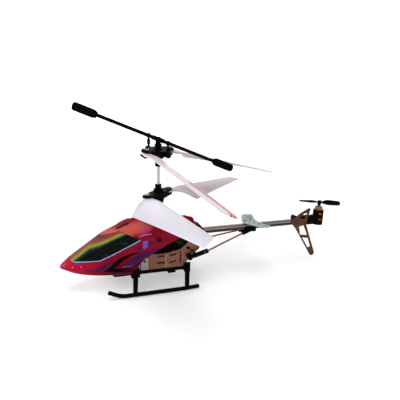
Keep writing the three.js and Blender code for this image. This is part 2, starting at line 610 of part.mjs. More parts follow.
const windowOutline = [
  [-59.4, 48], [-59.4, 23.6], [-57.5, 22.4], [-55.6, 21.6], [-39.8, 22.8], [-12.9, 35.2],
  [-23.1, 39.4], [-26.8, 40.7], [-39.3, 37.6], [-39.3, 48],
];
const belowEdge = [
  [-20, 11.3], [-16.3, 16.6], [-13.3, 20.7], [-10.6, 23.1], [-7.2, 25.2], [-3.4, 27.5], [0.2, 29.3],
  [4, 31.2], [8, 32.9], [12.5, 34.3], [40, 35.4], [40, -2], [-20, -2],
];
const aboveTail = [[24, 60], [24.6, 45.2], [25.2, 41], [40, 34.8], [40, 60]];
const acrossAll = (outline) => sidePlate(shapeOf(outline), -40, 40);
const intakes = SIDES.map(([, side]) => {
  const slot = box(-4.4, 4.4, -0.8, 0.8, -3, 3);
  return slot.rotateY(-radians(20)).translate(-24.6, side * 3.8, 43.6);
});
const skin = solidOf(outerBody).subtract(solidOf(innerBody));
const shell = skin
  .subtract(solidOf(acrossAll(belowEdge)))
  .subtract(solidOf(acrossAll(aboveTail)))
  .subtract(solidOf(acrossAll(windowOutline)))
  .subtract(solidOf(post(5.2, 5.2, 40, 60)))
  .subtract(solidOf(box(4, 18.6, -4.3, 4.3, 42, 60)))
  .subtract(solidOf(rodY(1.9, -20, 20, GROMMET[0], GROMMET[1])))
  .subtract(solidOf(intakes[0]))
  .subtract(solidOf(intakes[1]));
addPiece('canopy', geometryOf(shell), CRIMSON);
addPiece('window_panel',
  geometryOf(skin.intersect(solidOf(acrossAll(inset(windowOutline, GAP))))), WINDOW);
for (const [name, side] of SIDES) {
  const ring = cut(rodY(1.6, 12.5, 14.7, GROMMET[0], GROMMET[1], 16),
    rodY(1.1, 12, 16, GROMMET[0], GROMMET[1]));
  if (side < 0) ring.rotateX(Math.PI).translate(0, 0, 2 * GROMMET[1]);
  addPiece(`grommet_${name}`, ring, CRIMSON);
}

// ---------------------------------------------------------------- tail boom and its stays
addPiece('tail_boom', boomGeometry(BOOM_SIZE, 0, BOOM_END - BOOM_START), BRONZE);
const boomTop = (x) =>
  BOOM_AXIS_HEIGHT + (x - BOOM_START) * Math.tan(radians(BOOM_RISE)) + BOOM_SIZE / 2;
const STAY_FRONT = [33.4, 11.3, 23.1];
const STAY_REAR = [64.2, 3.4, 31.2];
const KNOB = [20.4, 19];
const sided = (side, [x, y, z]) => new THREE.Vector3(x, side * y, z);
for (const [name, side] of SIDES) {
  const front = sided(side, STAY_FRONT);
  const rear = sided(side, STAY_REAR);
  const along = new THREE.Vector3().subVectors(rear, front).normalize();
  const knobEnd = side * 11.6;
  const knobStart = side * (PLATE_Y + GAP);
  const knob = rodY(1.9, Math.min(knobStart, knobEnd), Math.max(knobStart, knobEnd), KNOB[0], KNOB[1], 16);
  const elbow = sided(side, [KNOB[0] + 2, 10.4, KNOB[1] + 0.6]);
  const arm = rodBetween(sided(side, [KNOB[0], 10.2, KNOB[1]]), front, 1.4);
  const bore = rodBetween(front.clone().addScaledVector(along, -4),
    front.clone().addScaledVector(along, 2), 1);
  addPiece(`stay_clip_${name}`, cut(join(knob, rodBetween(elbow, front, 1.65), arm), bore), BLACK);
  const stayStart = front.clone().addScaledVector(along, -3.2);
  const stayEnd = rear.clone().addScaledVector(along, 1.6);
  addPiece(`stay_rod_${name}`, rodBetween(stayStart, stayEnd, 0.68, 10), BRONZE);
}
const clampSockets = SIDES.map(([, side]) => {
  const rear = sided(side, STAY_REAR);
  const along = new THREE.Vector3().subVectors(rear, sided(side, STAY_FRONT)).normalize();
  return {
    body: rodBetween(rear.clone().addScaledVector(along, -1),
      rear.clone().addScaledVector(along, 7), 1.65),
    bore: rodBetween(rear.clone().addScaledVector(along, -3),
      rear.clone().addScaledVector(along, 2), 1),
  };
});
addPiece('boom_clamp', cut(join(
  box(66.2, 74.6, -3.3, 3.3, 31.6, 35.6), ...clampSockets.map(({ body }) => body)),
boomGeometry(BOOM_SIZE + 2 * GAP, 30, 60), ...clampSockets.map(({ bore }) => bore)), BLACK);

// ---------------------------------------------------------------- stabiliser and fin
const wingOutline = [
  [65.2, 0], [65.6, 4], [70.2, 14.4], [71.6, 16.2], [73.4, 16.9], [79, 16.4], [79.8, 15.2],
  [79, 11.4], [77.2, 6], [77, 0],
];
const wingHoles = [
  [[72.5, 12.9], [77.6, 12.9], [77.9, 14.9], [73.6, 14.9]],
  [[71.4, 9.7], [76.2, 9.7], [76.6, 10.9], [71.9, 10.9]],
  circle(74.6, 7, 0.6, 8), circle(72.6, 3.4, 0.6, 8), circle(68.4, 3.4, 0.6, 8),
];
const wingHalf = (side) => {
  const half = flatPlate(shapeOf(wingOutline, wingHoles), 0, 0.6).rotateX(radians(STABILISER_DIHEDRAL));
  const placed = side < 0 ? solidOf(half).mirror([0, 1, 0]) : solidOf(half);
  return placed.translate([0, 0, boomTop(72) + 0.4]);
};
const wingSpine = solidOf(box(65.4, 76.8, -0.9, 0.9, boomTop(72) + 0.4, boomTop(72) + 1.05));
addPiece('horizontal_stabiliser', geometryOf(wingHalf(1).add(wingHalf(-1)).add(wingSpine)), BLUE_GREY);

const finOutline = [
  [122.4, 46.1], [120.2, 38.4], [119.9, 33.2], [130.5, 8.4], [129.6, 6.6], [127.8, 6], [126.2, 7.1],
  [110.3, 30.5], [106.6, 34.6], [106, 36.6], [106.6, 38.4], [108.8, 40.1], [113, 43.2],
  [120, 46.8], [121.6, 47],
];
const finHoles = [
  [[112.9, 39.9], [117.3, 42.9], [119.6, 43.3], [118, 38.7], [114, 38.6]],
  [[113.2, 32.2], [117.4, 33], [121.7, 24.4], [115, 25.2]],
  [[117.2, 22.6], [122.8, 21.8], [125.9, 14.2], [123.6, 13.4]],
  circle(109.6, 36.9, 0.6, 8), circle(112.4, 30.9, 0.45, 8),
];
addPiece('vertical_fin',
  sidePlate(shapeOf(finOutline, finHoles), FIN_Y - FIN_THICKNESS, FIN_Y), BRONZE);
addPiece('fin_clamp', cut(join(
  box(108.8, 113.6, FIN_Y + GAP, 3.3, boomTop(110) - 3.4, boomTop(110) + 1),
  rodY(1.5, FIN_Y + GAP, 2.4, 109.6, 39.7)),
boomGeometry(BOOM_SIZE + 2 * GAP, 60, 95)), BLACK);

// ---------------------------------------------------------------- tail motor and tail rotor
const sleeveBottom = 32.4;
const sleeveTop = 44.6;
const windowCut = (z0, z1) => box(TAIL_MOTOR_X - 2.1, TAIL_MOTOR_X + 2.1, -8, 8, z0, z1);
addPiece('tail_motor_holder', cut(join(
  post(TAIL_SLEEVE_RADIUS, TAIL_SLEEVE_RADIUS, sleeveBottom, sleeveTop, TAIL_MOTOR_X, 0, 20),
  box(113.9, TAIL_MOTOR_X - 3, -1.9, 1.9, 33, 40.2)),
post(3.4, 3.4, sleeveBottom + 1.2, 60, TAIL_MOTOR_X),
windowCut(40.8, 42.6), windowCut(36, 37.9)), BLACK);
const motorProfile = [
  [0, sleeveBottom + 1.6], [3.1, sleeveBottom + 1.6], [3.1, 45.6], [2.8, 46.9], [1.8, 47.8],
  [0, 47.8],
].map(([r, z]) => new THREE.Vector2(r, z));
addPiece('tail_motor', cut(
  new THREE.LatheGeometry(motorProfile, 16).rotateX(Math.PI / 2).translate(TAIL_MOTOR_X, 0, 0),
  post(0.8, 0.8, 44, 50, TAIL_MOTOR_X)), BRONZE);

function tailBladeGeometry() {
  const stations = [0.6, 2.2, 4, 6.5, 9.5, 12.5, 14, TAIL_ROTOR_RADIUS];
  const rings = stations.map((u) => {
    const pitch = radians(lerp(38, 20, u / TAIL_ROTOR_RADIUS));
    const chord = lerp(1.6, 5.6, smooth(1.6, 6, u));
    const slant = u > 14 ? (u - 14) * 0.7 : 0;
    const ends = [-0.45 * chord + slant, 0.55 * chord - slant * 0.2];
    const at = (v, h) => [
      u, v * Math.cos(pitch) - h * Math.sin(pitch), h * Math.cos(pitch) + v * Math.sin(pitch),
    ];
    return [at(ends[0], 0.3), at(ends[1], 0.3), at(ends[1], -0.3), at(ends[0], -0.3)];
  });
  return loft(rings);
}
const tailBlade = tailBladeGeometry();
const tailRotor = addPiece('tail_rotor', join(
  post(1.6, 1.4, -1.4, 1.4, 0, 0, 16), post(1.2, 1.2, -2.6, -1, 0, 0, 12),
  post(0.5, 0.5, -6.4, -1, 0, 0, 12),
  tailBlade, tailBlade.clone().rotateZ(Math.PI)), BLACK);
tailRotor.position.set(TAIL_MOTOR_X, 0, TAIL_ROTOR_HEIGHT);
tailRotor.rotation.z = radians(TAIL_ROTOR_AZIMUTH);

export default helicopter;
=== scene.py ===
"""A palm-size coaxial toy helicopter. Lengths are in millimetres, and heights are written above
the ground; the frame's origin is BASE_BOTTOM above it."""
import json
import math

import bmesh
import bpy
from mathutils import Matrix, Vector


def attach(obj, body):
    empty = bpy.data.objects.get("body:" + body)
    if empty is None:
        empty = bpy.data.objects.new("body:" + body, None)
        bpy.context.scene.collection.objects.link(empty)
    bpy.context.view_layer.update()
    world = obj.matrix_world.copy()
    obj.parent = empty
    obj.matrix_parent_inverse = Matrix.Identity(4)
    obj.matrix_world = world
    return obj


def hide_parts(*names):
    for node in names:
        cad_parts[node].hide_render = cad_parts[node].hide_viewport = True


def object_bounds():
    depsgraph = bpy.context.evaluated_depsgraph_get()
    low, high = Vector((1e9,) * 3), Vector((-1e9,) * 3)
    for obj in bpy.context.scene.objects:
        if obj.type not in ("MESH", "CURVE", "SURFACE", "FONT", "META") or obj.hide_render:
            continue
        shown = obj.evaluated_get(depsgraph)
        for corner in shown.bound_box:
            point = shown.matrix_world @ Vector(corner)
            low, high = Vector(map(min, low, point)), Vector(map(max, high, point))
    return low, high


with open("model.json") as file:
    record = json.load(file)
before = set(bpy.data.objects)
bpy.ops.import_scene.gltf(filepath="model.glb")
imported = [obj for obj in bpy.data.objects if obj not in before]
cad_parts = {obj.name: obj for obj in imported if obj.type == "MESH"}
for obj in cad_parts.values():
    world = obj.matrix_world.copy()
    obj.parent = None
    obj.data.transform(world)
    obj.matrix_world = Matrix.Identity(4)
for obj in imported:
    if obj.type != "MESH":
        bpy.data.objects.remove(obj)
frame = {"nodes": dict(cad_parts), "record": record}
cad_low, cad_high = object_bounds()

MM = 0.001
BASE_BOTTOM = 8.5
rad = math.radians
scene = bpy.context.scene

# ------------------------------------------------------------------ camera
CAMERA_AT = Vector((-38.954, -210.525, 111.668 - BASE_BOTTOM))
LOOK = Vector((0.30228, 0.92307, -0.23785))
LOOK_UP = Vector((0.04610, 0.23507, 0.97088))
cam_data = bpy.data.cameras.new("camera")
cam_data.sensor_width = 36.0
cam_data.lens = 28.8
cam_data.clip_start = 0.01
cam = bpy.data.objects.new("camera", cam_data)
scene.collection.objects.link(cam)
right = LOOK.cross(LOOK_UP).normalized()
upright = right.cross(LOOK).normalized()
turn = Matrix((right, upright, -LOOK.normalized())).transposed()
cam.matrix_world = Matrix.Translation(CAMERA_AT * MM) @ turn.to_4x4()
scene.camera = cam


# ------------------------------------------------------------------ materials
class Shade:
    """One material's node tree, with short calls for the nodes used here."""

    def __init__(self, name, **sockets):
        self.material = bpy.data.materials.new(name)
        self.material.use_nodes = True
        self.tree = self.material.node_tree
        self.tree.nodes.clear()
        output = self.node("ShaderNodeOutputMaterial")
        self.bsdf = self.node("ShaderNodeBsdfPrincipled")
        self.link(self.bsdf.outputs[0], output.inputs[0])
        for socket, value in sockets.items():
            self.bsdf.inputs[socket.replace("_", " ")].default_value = value
        self.coords = self.node("ShaderNodeTexCoord").outputs["Object"]

    def node(self, kind, **settings):
        made = self.tree.nodes.new(kind)
        for key, value in settings.items():
            setattr(made, key, value)
        return made

    def link(self, source, target):
        self.tree.links.new(source, target)

    def feed(self, value, socket):
        if isinstance(value, bpy.types.NodeSocket):
            self.link(value, socket)
        else:
            socket.default_value = value

    def math(self, operation, a, b=0.0, clamp=False):
        made = self.node("ShaderNodeMath", operation=operation, use_clamp=clamp)
        self.feed(a, made.inputs[0])
        self.feed(b, made.inputs[1])
        return made.outputs[0]

    def noise(self, scale, stretch=(1, 1, 1), detail=3.0, rough=0.5):
        mapping = self.node("ShaderNodeMapping")
        mapping.inputs["Scale"].default_value = stretch
        self.link(self.coords, mapping.inputs["Vector"])
        made = self.node("ShaderNodeTexNoise")
        made.inputs["Scale"].default_value = scale
        made.inputs["Detail"].default_value = detail
        made.inputs["Roughness"].default_value = rough
        self.link(mapping.outputs[0], made.inputs["Vector"])
        return made.outputs["Fac"]

    def ramp(self, factor, stops):
        made = self.node("ShaderNodeValToRGB")
        elements = made.color_ramp.elements
        while len(elements) < len(stops):
            elements.new(0.5)
        for element, (place, color) in zip(elements, stops):
            element.position = place
            element.color = (*color, 1)
        self.feed(factor, made.inputs[0])
        return made.outputs[0]

    def between(self, value, low, high, out_low=0.0, out_high=1.0):
        made = self.node("ShaderNodeMapRange", interpolation_type="SMOOTHSTEP")
        self.feed(value, made.inputs["Value"])
        for socket, number in (("From Min", low), ("From Max", high),
                               ("To Min", out_low), ("To Max", out_high)):
            made.inputs[socket].default_value = number
        return made.outputs[0]

    def between_linear(self, value, low, high, out_low, out_high):
        ranged = self.between(value, low, high, out_low, out_high)
        ranged.node.interpolation_type = "LINEAR"
        return ranged

    def mix(self, factor, a, b):
        made = self.node("ShaderNodeMix", data_type="RGBA")
        self.feed(factor, made.inputs[0])
        self.feed(a if isinstance(a, bpy.types.NodeSocket) else (*a, 1), made.inputs[6])
        self.feed(b if isinstance(b, bpy.types.NodeSocket) else (*b, 1), made.inputs[7])
        return made.outputs[2]

    def axes(self):
        """Object coordinates in millimetres: x, y and z."""
        split = self.node("ShaderNodeSeparateXYZ")
        self.link(self.coords, split.inputs[0])
        return [self.math("MULTIPLY", split.outputs[i], 1000.0) for i in range(3)]

    def color(self, value):
        self.feed(value, self.bsdf.inputs["Base Color"])

    def grain(self, height, strength, distance):
        bump = self.node("ShaderNodeBump")
        bump.inputs["Strength"].default_value = strength
        bump.inputs["Distance"].default_value = distance
        self.link(height, bump.inputs["Height"])
        self.link(bump.outputs[0], self.bsdf.inputs["Normal"])


def tinted(color, share):
    return tuple(min(1.0, c * share) for c in color)


def moulded(name, color, rough, spread=0.12, grain=0.05, rough_spread=0.06, **sockets):
    """Moulded plastic: faint cloudiness, uneven gloss and a fine surface grain."""
    shade = Shade(name, **sockets)
    cloud = shade.noise(160.0, detail=4.0)
    shade.color(shade.ramp(cloud, [(0.3, tinted(color, 1 - spread)), (0.7, tinted(color, 1 + spread))]))
    gloss = shade.between(shade.noise(420.0), 0.3, 0.7, rough - rough_spread, rough + rough_spread)
    shade.feed(gloss, shade.bsdf.inputs["Roughness"])
    shade.grain(shade.noise(2600.0, detail=2.0), grain, 0.0001)
    return shade.material


def brushed(name, color, rough, stretch, spread=0.22, grain=0.12, split=None, **sockets):
    """Metal with fine brush lines, long where the stretch is small. A split gives the color below
    a sloping line, painted shade on the underside: its height at x = 0, its slope and the lower color."""
    shade = Shade(name, **sockets)
    shade.bsdf.inputs["Metallic"].default_value = 0.75
    lines = shade.noise(1.0, stretch, detail=5.0, rough=0.65)
    cloud = shade.noise(90.0, detail=2.0)
    blend = shade.math("ADD", shade.math("MULTIPLY", lines, 0.7), shade.math("MULTIPLY", cloud, 0.3))

    def toned(tint):
        return shade.ramp(blend, [(0.32, tinted(tint, 1 - spread)), (0.68, tinted(tint, 1 + spread))])

    tone = toned(color)
    if split:
        height, slope, lower = split
        x, y, z = shade.axes()
        above = shade.math("SUBTRACT", shade.math("SUBTRACT", z, shade.math("MULTIPLY", x, slope)), height)
        tone = shade.mix(shade.between(above, -0.25, 0.25), toned(lower), tone)
    shade.color(tone)
    shade.feed(shade.between(lines, 0.3, 0.7, rough - 0.08, rough + 0.1), shade.bsdf.inputs["Roughness"])
    shade.grain(lines, grain, 0.0001)
    return shade.material


def spot(shade, x, z, centre, size, slope):
    """A soft-edged patch around a centre, longer along a sloping line."""
    dx = shade.math("SUBTRACT", x, centre[0])
    dz = shade.math("SUBTRACT", z, centre[1])
    across = shade.math("SUBTRACT", dz, shade.math("MULTIPLY", dx, slope))
    along_share = shade.math("DIVIDE", dx, size[0])
    across_share = shade.math("DIVIDE", across, size[1])
    reach = shade.math("ADD", shade.math("MULTIPLY", along_share, along_share),
                       shade.math("MULTIPLY", across_share, across_share))
    return shade.between(reach, 0.1, 1.9, 1.0, 0.0)


# painted reflections of warm light on the shoulders: centre across x and z, size, slope, strength and color
REFLECTION_PATCHES = (
    ((-22.0, 41.0), (12.5, 3.6), 0.30, 0.8, (0.43, 0.078, 0.048)),
    ((-35.0, 38.6), (6.0, 2.4), 0.32, 0.8, (0.50, 0.10, 0.095)),
    ((-10.5, 41.6), (5.0, 2.2), 0.3, 0.45, (0.40, 0.07, 0.13)),
)


def canopy_paint():
    """Glossy crimson with painted reflections of warm light on the shoulders, painted shade darkening it
    toward the lower rear and painted light lightening it toward the nose.
    """
    shade = Shade("crimson_paint", Coat_Weight=0.14, Coat_Roughness=0.07, Coat_IOR=1.4)
    shade.bsdf.inputs["Specular IOR Level"].default_value = 0.01
    x, y, z = shade.axes()
    cloud = shade.noise(70.0, detail=3.0)
    red = shade.ramp(cloud, [(0.3, (0.145, 0.0003, 0.009)), (0.7, (0.18, 0.0006, 0.013))])
    # painted shade: the red darkens toward the lower rear
    low = shade.between(shade.math("SUBTRACT", z, shade.math("MULTIPLY", x, 0.25)), 20.0, 34.0)
    red = shade.mix(low, (0.050, 0.0001, 0.003), red)
    # painted light: the red lightens toward the nose
    nose = shade.between(x, -60.0, -30.0, 1.0, 0.0)
    red = shade.mix(shade.math("MULTIPLY", nose, 0.6), red, (0.42, 0.006, 0.035))
    # painted reflections of warm light on the shoulders
    for centre, size, slope, strength, color in REFLECTION_PATCHES:
        patch = spot(shade, x, z, centre, size, slope)
        red = shade.mix(shade.math("MULTIPLY", patch, strength), red, color)
    shade.color(red)
    shade.feed(shade.between(shade.noise(260.0), 0.3, 0.7, 0.16, 0.24), shade.bsdf.inputs["Roughness"])
    shade.grain(shade.noise(55.0, detail=1.0), 0.02, 0.0004)
    return shade.material


KNEE_X, KNEE_HEIGHT = -46.0, 31.0


def window_film():
    """Colour-shifting film: brown on the roof, a yellow and green band along the ridge, black and
    teal below it. The bands are partly the film's own tint and partly painted reflection, and the teal
    streaks are painted reflections."""
    shade = Shade("window_film", Coat_Weight=0.1, Coat_Roughness=0.04, Coat_IOR=1.4)
    shade.bsdf.inputs["Specular IOR Level"].default_value = 0.01
    x, y, z = shade.axes()
    # the ridge climbs from the nose to the shoulder, steeper ahead of its knee
    past_knee = shade.math("SUBTRACT", x, KNEE_X)
    ahead = shade.math("MINIMUM", past_knee, 0.0)
    behind = shade.math("MAXIMUM", past_knee, 0.0)
    ridge = shade.math("ADD", shade.math("MULTIPLY", ahead, 0.72), shade.math("MULTIPLY", behind, 0.40))
    height = shade.math("SUBTRACT", shade.math("SUBTRACT", z, ridge), KNEE_HEIGHT)
    wave = shade.math("MULTIPLY", shade.math("SUBTRACT", shade.noise(45.0, detail=2.0), 0.5), 1.2)
    band = shade.between_linear(shade.math("ADD", height, wave), -4.0, 4.0, 0.0, 1.0)
    bands = shade.ramp(band, [
        (0.0, (0.001, 0.001, 0.001)), (0.24, (0.001, 0.003, 0.003)), (0.32, (0.003, 0.035, 0.03)),
        (0.40, (0.05, 0.13, 0.02)), (0.47, (0.22, 0.22, 0.02)), (0.54, (0.25, 0.14, 0.03)),
        (0.64, (0.16, 0.055, 0.034)), (0.80, (0.13, 0.040, 0.029)), (1.0, (0.10, 0.030, 0.023))])
    far = shade.math("MULTIPLY", shade.between(y, -0.5, 1.5), shade.between(band, 0.6, 0.85))
    bands = shade.mix(far, bands, (0.045, 0.008, 0.006))
    # the teal streaks below the band are painted reflections
    slant = shade.node("ShaderNodeMapping")
    slant.inputs["Rotation"].default_value = (0.0, rad(-32.0), 0.0)
    slant.inputs["Scale"].default_value = (70, 300, 420)
    shade.link(shade.coords, slant.inputs["Vector"])
    reflection_streak = shade.node("ShaderNodeTexNoise")
    reflection_streak.inputs["Scale"].default_value = 1.0
    reflection_streak.inputs["Detail"].default_value = 4.0
    shade.link(slant.outputs[0], reflection_streak.inputs["Vector"])
    teal = shade.ramp(reflection_streak.outputs["Fac"], [(0.62, (0.0, 0.0, 0.0)), (0.76, (0.002, 0.040, 0.038))])
    dark = shade.between(band, 0.22, 0.34, 1.0, 0.0)
    glow = shade.node("ShaderNodeMix", data_type="RGBA", blend_type="ADD")
    shade.feed(dark, glow.inputs[0])
    shade.feed(bands, glow.inputs[6])
    shade.feed(teal, glow.inputs[7])
    shade.color(glow.outputs[2])
    shade.feed(shade.between(shade.noise(300.0), 0.3, 0.7, 0.09, 0.15), shade.bsdf.inputs["Roughness"])
    shade.grain(shade.noise(70.0, detail=1.0), 0.03, 0.0004)
    return shade.material


# stripes: low and high edge as shares of the trailing width, start and end along the blade
STRIPES = ((0.34, 0.60, 42, 86), (0.02, 0.24, 48, 86), (0.36, 0.62, 22, 34))
BLADE_LENGTH, BLADE_ROOT, SHOULDER = 85.0, 15.2, 80.2
TRAILING, TRAILING_TIP, LEADING = 15.9, 4.3, 3.6


def blade_plastic(name, pale, deep, striped=False):
    """Thin moulding, paler along the line of its pin as a painted highlight, with crimson stripes on one
    blade.
    """
    shade = Shade(name, Coat_Weight=0.1, Coat_Roughness=0.2)
    shade.bsdf.inputs["Specular IOR Level"].default_value = 0.2
    x, y, z = shade.axes()
    # painted highlight: paler along the line of the pin, deeper away from it
    side = shade.math("ABSOLUTE", y)
    base = shade.mix(shade.between(side, 0.0, 13.0), pale, deep)
    if striped:
        width = shade.between_linear(x, BLADE_ROOT, BLADE_LENGTH, TRAILING, TRAILING_TIP)
        chord = shade.math("DIVIDE", y, width)
        lines = []
        for low, high, start, end in STRIPES:
            inside = shade.math("MULTIPLY", shade.math("GREATER_THAN", chord, low),
                                shade.math("LESS_THAN", chord, high))
            length = shade.math("MULTIPLY", shade.math("GREATER_THAN", x, start),
                                shade.math("LESS_THAN", x, end))
            lines.append(shade.math("MULTIPLY", inside, length))
        mask = lines[0]
        for line in lines[1:]:
            mask = shade.math("MAXIMUM", mask, line)
        base = shade.mix(mask, base, (0.34, 0.002, 0.02))
    shade.color(base)
    shade.feed(shade.between(shade.noise(240.0), 0.3, 0.7, 0.34, 0.44), shade.bsdf.inputs["Roughness"])
    shade.grain(shade.noise(900.0, detail=2.0), 0.03, 0.0002)
    return shade.material


BLACK_SHINE = {"Specular_IOR_Level": 0.006}

MAT = {
    "crimson_shell": canopy_paint(),
    "iridescent_window": window_film(),
    "bronze_metal": brushed("bronze", (0.19, 0.078, 0.046), 0.42, (1400, 1400, 40)),
    "fin_bronze": brushed("fin_bronze", (0.065, 0.022, 0.009), 0.45, (1400, 1400, 40)),
    # the boom's dark colour below the split line is painted shade on its underside
    "boom_bronze": brushed("boom_bronze", (0.21, 0.18, 0.16), 0.36, (30, 1600, 1600),
                           split=(25.75, 0.01658, (0.022, 0.007, 0.003))),
    "rust_bronze": brushed("rust_bronze", (0.20, 0.065, 0.025), 0.4, (600, 600, 600)),
    "plated_trim": brushed("plated", (0.27, 0.22, 0.20), 0.24, (900, 900, 60), spread=0.12),
    "blue_grey_metal": brushed("blue_grey", (0.17, 0.235, 0.255), 0.40, (60, 1500, 900)),
    "black_plastic": moulded("black_plastic", (0.0035, 0.0022, 0.0022), 0.42, grain=0.10, **BLACK_SHINE),
    "gloss_black": moulded("gloss_black", (0.003, 0.002, 0.002), 0.28, grain=0.03, **BLACK_SHINE),
    # white_blade, on both far blades, is darker than the near blades' plastic: painted shade
    "white_blade": blade_plastic("white_blade", (0.45, 0.385, 0.395), (0.43, 0.35, 0.36)),
    "lilac_blade": blade_plastic("lilac_blade", (0.60, 0.59, 0.65), (0.44, 0.42, 0.50)),
    "striped_blade": blade_plastic("striped_blade", (0.60, 0.52, 0.53), (0.52, 0.44, 0.45), striped=True),
    "steel": brushed("steel", (0.40, 0.39, 0.38), 0.2, (1200, 1200, 60)),
    "board_green": moulded("board_green", (0.02, 0.12, 0.05), 0.4),
    "battery_wrap": moulded("battery_wrap", (0.35, 0.38, 0.42), 0.3, Metallic=0.6),
    "print_black": moulded("print_black", (0.004, 0.002, 0.003), 0.2, **BLACK_SHINE),
    "print_purple": moulded("print_purple", (0.036, 0.008, 0.046), 0.2, **BLACK_SHINE),
    # violet print, also used for a painted highlight line and a painted reflection on the hem
    "violet_print_and_highlight": moulded("violet_print_and_highlight", (0.10, 0.055, 0.33), 0.2, **BLACK_SHINE),
    "print_pale": moulded("print_pale", (0.42, 0.15, 0.32), 0.2, **BLACK_SHINE),
    # painted highlight along the window's lower edge
    "edge_highlight": moulded("painted_edge_highlight", (0.16, 0.22, 0.42), 0.15, Coat_Weight=0.6),
}


# ------------------------------------------------------------------ mesh helpers
def put(obj, body, slot, *replaced):
    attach(obj, body)
    if replaced:
        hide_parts(*replaced)


def piece(name, points, faces, material, place, smooth=True):
    """A mesh piece; the points are in millimetres, in the piece's own place."""
    mesh = bpy.data.meshes.new(name)
    mesh.from_pydata([Vector(p) * MM for p in points], [], faces)
    mesh.validate()
    mesh.polygons.foreach_set("use_smooth", [smooth] * len(mesh.polygons))
    mesh.materials.append(MAT[material])
    obj = bpy.data.objects.new(name, mesh)
    scene.collection.objects.link(obj)
    shift = place.to_translation() * MM
    obj.matrix_world = Matrix.Translation(shift) @ place.to_3x3().to_4x4()
    return obj


def soften(obj, width):
    """Rounds the sharp edges of a CAD node with modifiers, without touching its mesh."""
    weld = obj.modifiers.new("weld", "WELD")
    weld.merge_threshold = 1e-6
    flat = obj.modifiers.new("flat", "DECIMATE")
    flat.decimate_type = "DISSOLVE"
    flat.angle_limit = rad(0.6)
    bevel = obj.modifiers.new("bevel", "BEVEL")
    bevel.width = width * MM
    bevel.segments = 2
    bevel.limit_method = "ANGLE"
    bevel.angle_limit = rad(32.0)
    bevel.use_clamp_overlap = True
    normals = obj.modifiers.new("normals", "WEIGHTED_NORMAL")
    normals.keep_sharp = False
    normals.weight = 80


def ringed_faces(rings, sides):
    """Quads between rings of points, and a face over each end."""
    faces = []
    for ring in range(rings - 1):
        low, high = ring * sides, (ring + 1) * sides
        for i in range(sides):
            j = (i + 1) % sides
            faces.append((low + i, low + j, high + j, high + i))
    last = (rings - 1) * sides
    return [*faces, tuple(reversed(range(sides))), tuple(range(last, last + sides))]


def lathe(name, profile, material, place, sides):
    """A body of revolution about Z from (radius, height) points."""
    points = []
    for radius, height in profile:
        for i in range(sides):
            a = 2 * math.pi * i / sides
            points.append((radius * math.cos(a), radius * math.sin(a), height))
    return piece(name, points, ringed_faces(len(profile), sides), material, place)


def tube(name, path, radius, material, place, steps=8, sides=16):
    """A round bar along a smooth line through the points of a path, with rounded ends."""
    line = smooth_path([Vector(p) for p in path], steps)
    # the rings of a rounded end, as shares of the radius and offsets along the bar
    cap = [(0.35, -0.94), (0.75, -0.66)]
    points, rings = [], []
    first, last = (line[1] - line[0]).normalized(), (line[-1] - line[-2]).normalized()
    for share, back in cap:
        rings.append((line[0] + first * radius * back, share, first))
    for i, p in enumerate(line):
        before, after = line[max(i - 1, 0)], line[min(i + 1, len(line) - 1)]
        rings.append((p, 1.0, (after - before).normalized()))
    for share, back in reversed(cap):
        rings.append((line[-1] - last * radius * back, share, last))
    side = Vector((0, 0, 1)) if abs(first.z) < 0.9 else Vector((1, 0, 0))
    for centre, share, direction in rings:
        u = (side - direction * side.dot(direction)).normalized()
        v = direction.cross(u)
        side = u
        for i in range(sides):
            a = 2 * math.pi * i / sides
            points.append(centre + (u * math.cos(a) + v * math.sin(a)) * radius * share)
    return piece(name, points, ringed_faces(len(rings), sides), material, place)


def catmull(a, b, c, d, t):
    """A point between b and c on a smooth curve through four values."""
    square = (2 * a - 5 * b + 4 * c - d) * t * t
    cube = (3 * b - a - 3 * c + d) * t ** 3
    return 0.5 * ((2 * b) + (c - a) * t + square + cube)


def smooth_path(points, steps):
    ends = [2 * points[0] - points[1], *points, 2 * points[-1] - points[-2]]
    line = [catmull(*ends[i:i + 4], k / steps) for i in range(len(points) - 1) for k in range(steps)]
    return [*line, points[-1]]


def turned(axis, degrees):
    return Matrix.Rotation(rad(degrees), 4, axis)


def moved(x, y, z):
    return Matrix.Translation((x, y, z))


def smoothstep(low, high, value):
    t = min(1.0, max(0.0, (value - low) / (high - low)))
    return t * t * (3 - 2 * t)


def lerp(a, b, t):
    return a + (b - a) * t


SIDES = (("left", -1), ("right", 1))

# ------------------------------------------------------------------ canopy
WALL = 0.9
GAP = 0.3
# x, greatest half width, keel height, roof height
STATIONS = [
    (-64.8, 1.3, 16.7, 17.9), (-63.6, 3.4, 16.5, 19.3), (-60, 5.8, 15.6, 22.7), (-56, 7.6, 14.2, 25.9),
    (-50, 9.4, 13, 30.2), (-44, 10.9, 12.3, 34.6), (-38, 12.1, 12, 38.7), (-30, 13.1, 11.7, 42.6),
    (-22, 13.6, 11.5, 45.9), (-12, 13.9, 11.3, 48.9), (0, 13.9, 11.3, 50.2), (12, 12.9, 16, 49.1),
    (21, 11.2, 22, 46.2), (27, 9.6, 26, 44.4), (31.5, 8.6, 29, 41.5),
]
NOSE_TIP = (-65.1, 0, 17.3)
